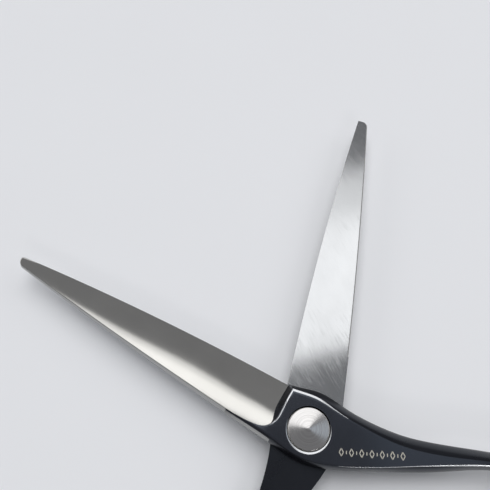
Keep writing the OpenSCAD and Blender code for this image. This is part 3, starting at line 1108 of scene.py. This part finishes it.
# %% [markdown]
# Three makers of simple metal shapes: a turned solid, a rod with a helical thread that runs out
# at both ends, and a square block for cutting flats.

# %% Turned and threaded shapes
def turned(name, profile, slots, turns=160):
    points, faces = lathe(profile, turns)
    return weld(mesh_object(name, points, faces, slots=slots))


def threaded_rod(name, radius, depth, pitch, low, high, slots):
    """Rod whose radius follows a helix."""
    turns, rows = 72, int((high - low) / pitch * 12)
    points = []
    for i in range(rows + 1):
        z = low + (high - low) * i / rows
        runout = smooth_step((z - low) / 0.25) * smooth_step((high - z) / 0.25)
        for k in range(turns):
            phase = (z / pitch - k / turns) % 1
            r = radius - depth * runout * (1 - abs(2 * phase - 1)) - depth * (1 - runout)
            angle = 2 * math.pi * k / turns
            points.append((r * math.cos(angle), r * math.sin(angle), z))
    faces = loft_faces(rows + 1, turns)
    faces.append(tuple(range(turns)))
    faces.append(tuple(rows * turns + k for k in range(turns)))
    return mesh_object(name, points, faces, slots=slots)


def block(name, low, high, slots, turn_deg=0):
    xs, ys, zs = zip(low, high)
    corners = [(x, y, z) for z in zs for y in ys for x in xs]
    faces = [(0, 2, 3, 1), (4, 5, 7, 6), (0, 1, 5, 4), (2, 6, 7, 3), (0, 4, 6, 2), (1, 3, 7, 5)]
    place = Matrix.Rotation(math.radians(turn_deg), 4, "Z")
    return mesh_object(name, corners, faces, place, slots)

# %% [markdown]
# The head is one long cone. Smooth shading would bend it towards the rounded rim, so rings of
# points near the centre mark and near the rim keep its slope true.

# %% Make the pivot screw
def make_screw():
    head = [(0, screw_top - 0.06), (0.08, screw_top - 0.05), (0.14, screw_top - 0.006)]
    # Rings close to the centre mark and to the rounded edge keep the cone's shading true
    cone = (screw_top - 0.006 - head_edge) / (head_r - 0.24)
    rings = (0.2, 1.2, 2.3, head_r - 0.2, head_r - 0.13)
    head += [(r, screw_top - 0.006 - cone * (r - 0.14)) for r in rings]
    head += arc((head_r - 0.1, head_edge - 0.1), 0.1, 80, 0, 6)
    head += arc((head_r - 0.16, head_under + 0.05), 0.05, 0, -90, 3)
    head += [(journal_r, head_under), (journal_r, lower_z + 0.03), (0, lower_z + 0.03)]
    steel = (turned_metal,)
    screw = turned("pivot_screw", head, steel)
    neck_profile = [(0, neck_z), (journal_r - 0.06, neck_z), (journal_r, neck_z + 0.06)]
    neck_profile += [(journal_r, lower_z + 0.1), (0, lower_z + 0.1)]
    neck = turned("neck", neck_profile, steel)
    flats = block("flats", (-flat_half, -5, 0), (flat_half, 5, 9), steel, -opening)
    combine(neck, flats, "INTERSECT")
    combine(screw, neck, "UNION")
    thread = threaded_rod("thread", thread_r, 0.1, 0.35, screw_low, neck_z + 0.1, steel)
    combine(screw, thread, "UNION")
    combine(screw, drum("stop_bore", stop_bore, -1, 3), "DIFFERENCE")
    return finish_piece(screw, "thumb_half", ["pivot_screw"], sharp=30)


make_screw()

# %% [markdown]
# ## Tension dial
# The dial is turned, then notched all round so that a fingertip grips it. Three shallow pockets
# in its hub hold the click balls. The notches go through the rounded rim, so the cut is done with
# round rods.

# %% Tension dial
dial_r = 4.7
dial_h = 1.7
hub_top = 1.93
notches = 24


def rods(name, count, pitch_r, radius, low, high, slots):
    """Ring of round rods in one mesh, as one cutter."""
    points, faces = [], []
    for k in range(count):
        angle = 2 * math.pi * k / count
        x, y = pitch_r * math.cos(angle), pitch_r * math.sin(angle)
        rod_points, rod_faces = lathe([(0, low), (radius, low), (radius, high), (0, high)], 20)
        first = len(points)
        points += [(px + x, py + y, pz) for px, py, pz in rod_points]
        faces += [tuple(first + i for i in face) for face in rod_faces]
    return weld(mesh_object(name, points, faces, slots=slots))


def make_dial():
    hub_r = cup_r - 0.2
    profile = [(thread_r + 0.06, 0.72), (2.34, 0.72), (2.4, 0.66), (2.4, 0.1), (2.5, 0)]
    profile += arc((dial_r - 0.3, 0.3), 0.3, -90, 0, 6)
    profile += arc((dial_r - 0.2, dial_h - 0.2), 0.2, 0, 90, 5)
    profile += [(hub_r + 0.06, dial_h), (hub_r, dial_h + 0.06)]
    profile += arc((hub_r - 0.06, hub_top - 0.06), 0.06, 0, 90, 3)
    profile += [(thread_r + 0.16, hub_top), (thread_r + 0.06, hub_top - 0.1)]
    dial = turned("tension_dial", profile, (turned_metal,))
    combine(dial, rods("notches", notches, dial_r + 0.12, 0.3, -1, 3, (turned_metal,)), "DIFFERENCE")
    combine(dial, rods("pockets", 3, 3.0, 0.3, 1.38, 3, (turned_metal,)), "DIFFERENCE")
    return finish_piece(dial, "dial", ["tension_dial"], sharp=30)


make_dial()

# %% [markdown]
# ## Rings, bumper and finger rest
# The inserts are moulded soft rings with a full round towards the finger and small lips over the
# metal ring. The bumper is a moulded plug with a domed head. The finger rest is a steel shank
# swept along an arc, tapering to a rounded tip. A lathe and a sweep give these directly.

# %% Ring inserts
ring_in = 10.8
ring_out = 14.2
insert_in = 9.7


def make_insert(name, centre, place, body):
    land = 2.05
    lip = ring_in - 0.02
    profile = arc((insert_in + 0.45, land - 0.45), 0.45, 180, 90, 8)
    profile += arc((lip - 0.2, land - 0.2), 0.2, 90, 0, 4)
    profile += arc((lip - 0.2, 0.2 - land), 0.2, 0, -90, 4)
    profile += arc((insert_in + 0.45, 0.45 - land), 0.45, -90, -180, 8)
    groove = insert_in + 0.03
    profile += [(insert_in, -0.5), (groove, -0.42), (groove, 0.42), (insert_in, 0.5)]
    points, faces = lathe(profile, 144)
    insert = mesh_object(name, points, faces, place @ Matrix.Translation(centre), (insert_rubber,))
    return finish_piece(insert, body, [name], sharp=50)


make_insert("finger_ring_insert", finger_ring, finger_place, "finger_half")
make_insert("thumb_ring_insert", thumb_ring, thumb_place, "thumb_half")

# %% [markdown]
# The bumper stands on the finger ring and points at the thumb ring of the closed pair, so its
# direction and its height both follow from the two ring centres.

# %% Bumper
def on_ring(degrees):
    """Frame on the finger ring: its Z points outwards at the given turn."""
    return (
        finger_place @ Matrix.Translation(finger_ring) @ Matrix.Rotation(math.radians(degrees), 4, "Z")
        @ Matrix.Rotation(math.pi / 2, 4, "Y")
    )


def make_bumper():
    across = math.hypot(2 * finger_ring.y, finger_ring.x - thumb_ring.x)
    towards = math.degrees(math.atan2(-2 * finger_ring.y, thumb_ring.x - finger_ring.x))
    head = across - 2 * ring_out - 0.08
    foot = ring_out + 0.15
    profile = [(0, ring_out - 1.6), (0.92, ring_out - 1.6), (0.98, ring_out - 1.5), (0.98, foot)]
    profile += [(1.72, foot), (1.8, foot + 0.08), (1.8, foot + 0.9)]
    profile += [(1.74, foot + 0.96), (1.74, foot + 1.06)]
    profile += [(1.8, foot + 1.12), (1.8, foot + head - 0.9)]
    profile += arc((1.2, foot + head - 0.75), 0.6, 0, 88, 10) + [(0, foot + head - 0.14)]
    points, faces = lathe(profile, 72)
    bumper = mesh_object("bumper", points, faces, on_ring(towards), (bumper_rubber,))
    weld(bumper)
    return finish_piece(bumper, "finger_half", ["bumper"], sharp=50)


make_bumper()

# %% [markdown]
# The rest starts straight and then bends along an arc while it tapers. Its tip closes like an
# egg, and its threaded stud reaches into the boss through the washer.

# %% Finger rest
def make_rest():
    straight, bend_r, bend = 2.2, 13.0, 68.0
    start = boss_end + 0.3
    sides, steps = 40, 72
    points = []
    for i in range(steps + 1):
        t = i / steps
        swing = math.radians(bend) * max(t - 0.15, 0) / 0.85
        along_z = straight * min(t / 0.15, 1) + bend_r * math.sin(swing)
        out_y = bend_r * (1 - math.cos(swing))
        tip = max(t - 0.93, 0) / 0.07
        foot = 1 - 0.08 * (1 - smooth_step(t / 0.02))
        radius = (2.1 - 0.85 * t) * math.sqrt(max(1 - 0.97 * tip * tip, 0.02)) * foot
        for j in range(sides):
            b = 2 * math.pi * j / sides
            q = radius * math.cos(b)
            bent_y, bent_z = q * math.cos(swing) + out_y, start + along_z - q * math.sin(swing)
            points.append((-radius * math.sin(b), bent_y, bent_z))
    faces = loft_faces(steps + 1, sides)
    faces.append(tuple(range(sides)))
    faces.append(tuple(steps * sides + j for j in range(sides)))
    rest = mesh_object("finger_rest", points, faces, on_ring(rest_turn), (shaded_wall_coat,))
    stud = threaded_rod("stud", 1.19, 0.08, 0.4, start - 2.8, start + 0.4, (turned_metal,))
    stud.data.transform(on_ring(rest_turn))
    combine(rest, stud, "UNION")
    return finish_piece(rest, "finger_half", ["finger_rest"], sharp=40)


make_rest()

# %% [markdown]
# ## Etched marks
# The shank carries a row of small etched marks. They are plain ticks and lozenges here, sunk
# flush into the coat.

# %% Etched marks
def make_marks():
    start, end = Vector((6.0, -0.75)), Vector((15.75, 4.1))
    run = (end - start).normalized()
    rise = Vector((-run.y, run.x))
    half, stroke, low, high = 0.62, 0.075, half_t - 0.05, half_t + 0.004
    count = 13
    bar_faces = [(0, 3, 2, 1), (4, 5, 6, 7), (0, 1, 5, 4), (1, 2, 6, 5), (2, 3, 7, 6), (3, 0, 4, 7)]
    points, faces = [], []

    def bar(a, b):
        side = (b - a).normalized() * stroke
        cross = Vector((-side.y, side.x))
        first = len(points)
        for z in (low, high):
            points.extend([(*(a - cross), z), (*(b - cross), z), (*(b + cross), z), (*(a + cross), z)])
        faces.extend(tuple(first + i for i in face) for face in bar_faces)

    for k in range(count):
        middle = start + (end - start) * (k + 0.5) / count
        up, down = middle + rise * half, middle - rise * half
        left, right = middle - run * 0.34, middle + run * 0.34
        if k % 2 == 0:
            for a, b in ((up, right), (right, down), (down, left), (left, up)):
                bar(a, b)
        else:
            bar(middle + rise * 0.26, middle - rise * 0.26)
    marks = mesh_object("etched_marks", points, faces, finger_place, (etch,))
    return finish_piece(marks, "finger_half")


make_marks()

# %% [markdown]
# ## Small parts
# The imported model's own bushes, balls, washers and springs already have their true shape. They
# keep it, get a thin rounding along their edges, and take their metal or plastic.

# %% Carried-over parts
carried = {
    "pivot_bush": (bronze, 0.04), "bearing_race": (bright, 0.03), "bearing_cage": (nylon, 0.03),
    "bearing_balls": (bright, 0), "thrust_washer": (nylon, 0.04), "tension_spring": (bright, 0.03),
    "click_plate": (bright, 0.02), "click_balls": (bright, 0), "dial_stop_screw": (turned_metal, 0.05),
    "finger_rest_washer": (nylon, 0.05),
}
for node, (finish, rounding) in carried.items():
    obj = frame["nodes"][node]
    obj.data.materials.clear()
    obj.data.materials.append(finish)
    if rounding:
        edge = obj.modifiers.new("rounding", "BEVEL")
        edge.width = rounding * MM
        edge.segments = 2
        edge.limit_method = "ANGLE"
        edge.angle_limit = math.radians(40)
        edge.harden_normals = True
print(len(carried), "parts carried over")

# %% [markdown]
# ## Table
# A plain pale board, slightly cloudy, as paper or laminate is.

# %% Table
def table():
    made, tree, shader = material("table")
    dust = place_group(tree, specks, Per_mm=0.25, Amount=0.05)
    colour = mix_colour(tree, dust.outputs["Cloud"], (0.80, 0.81, 0.835), (0.785, 0.795, 0.82))
    tree.links.new(colour, shader.inputs["Base Color"])
    shader.inputs["Roughness"].default_value = 0.6
    size = 3.0
    mesh = bpy.data.meshes.new("table")
    corners = [(-size, -size, 0), (size, -size, 0), (size, size, 0), (-size, size, 0)]
    mesh.from_pydata(corners, [], [(0, 1, 2, 3)])
    mesh.materials.append(made)
    obj = bpy.data.objects.new("table", mesh)
    scene.collection.objects.link(obj)


table()
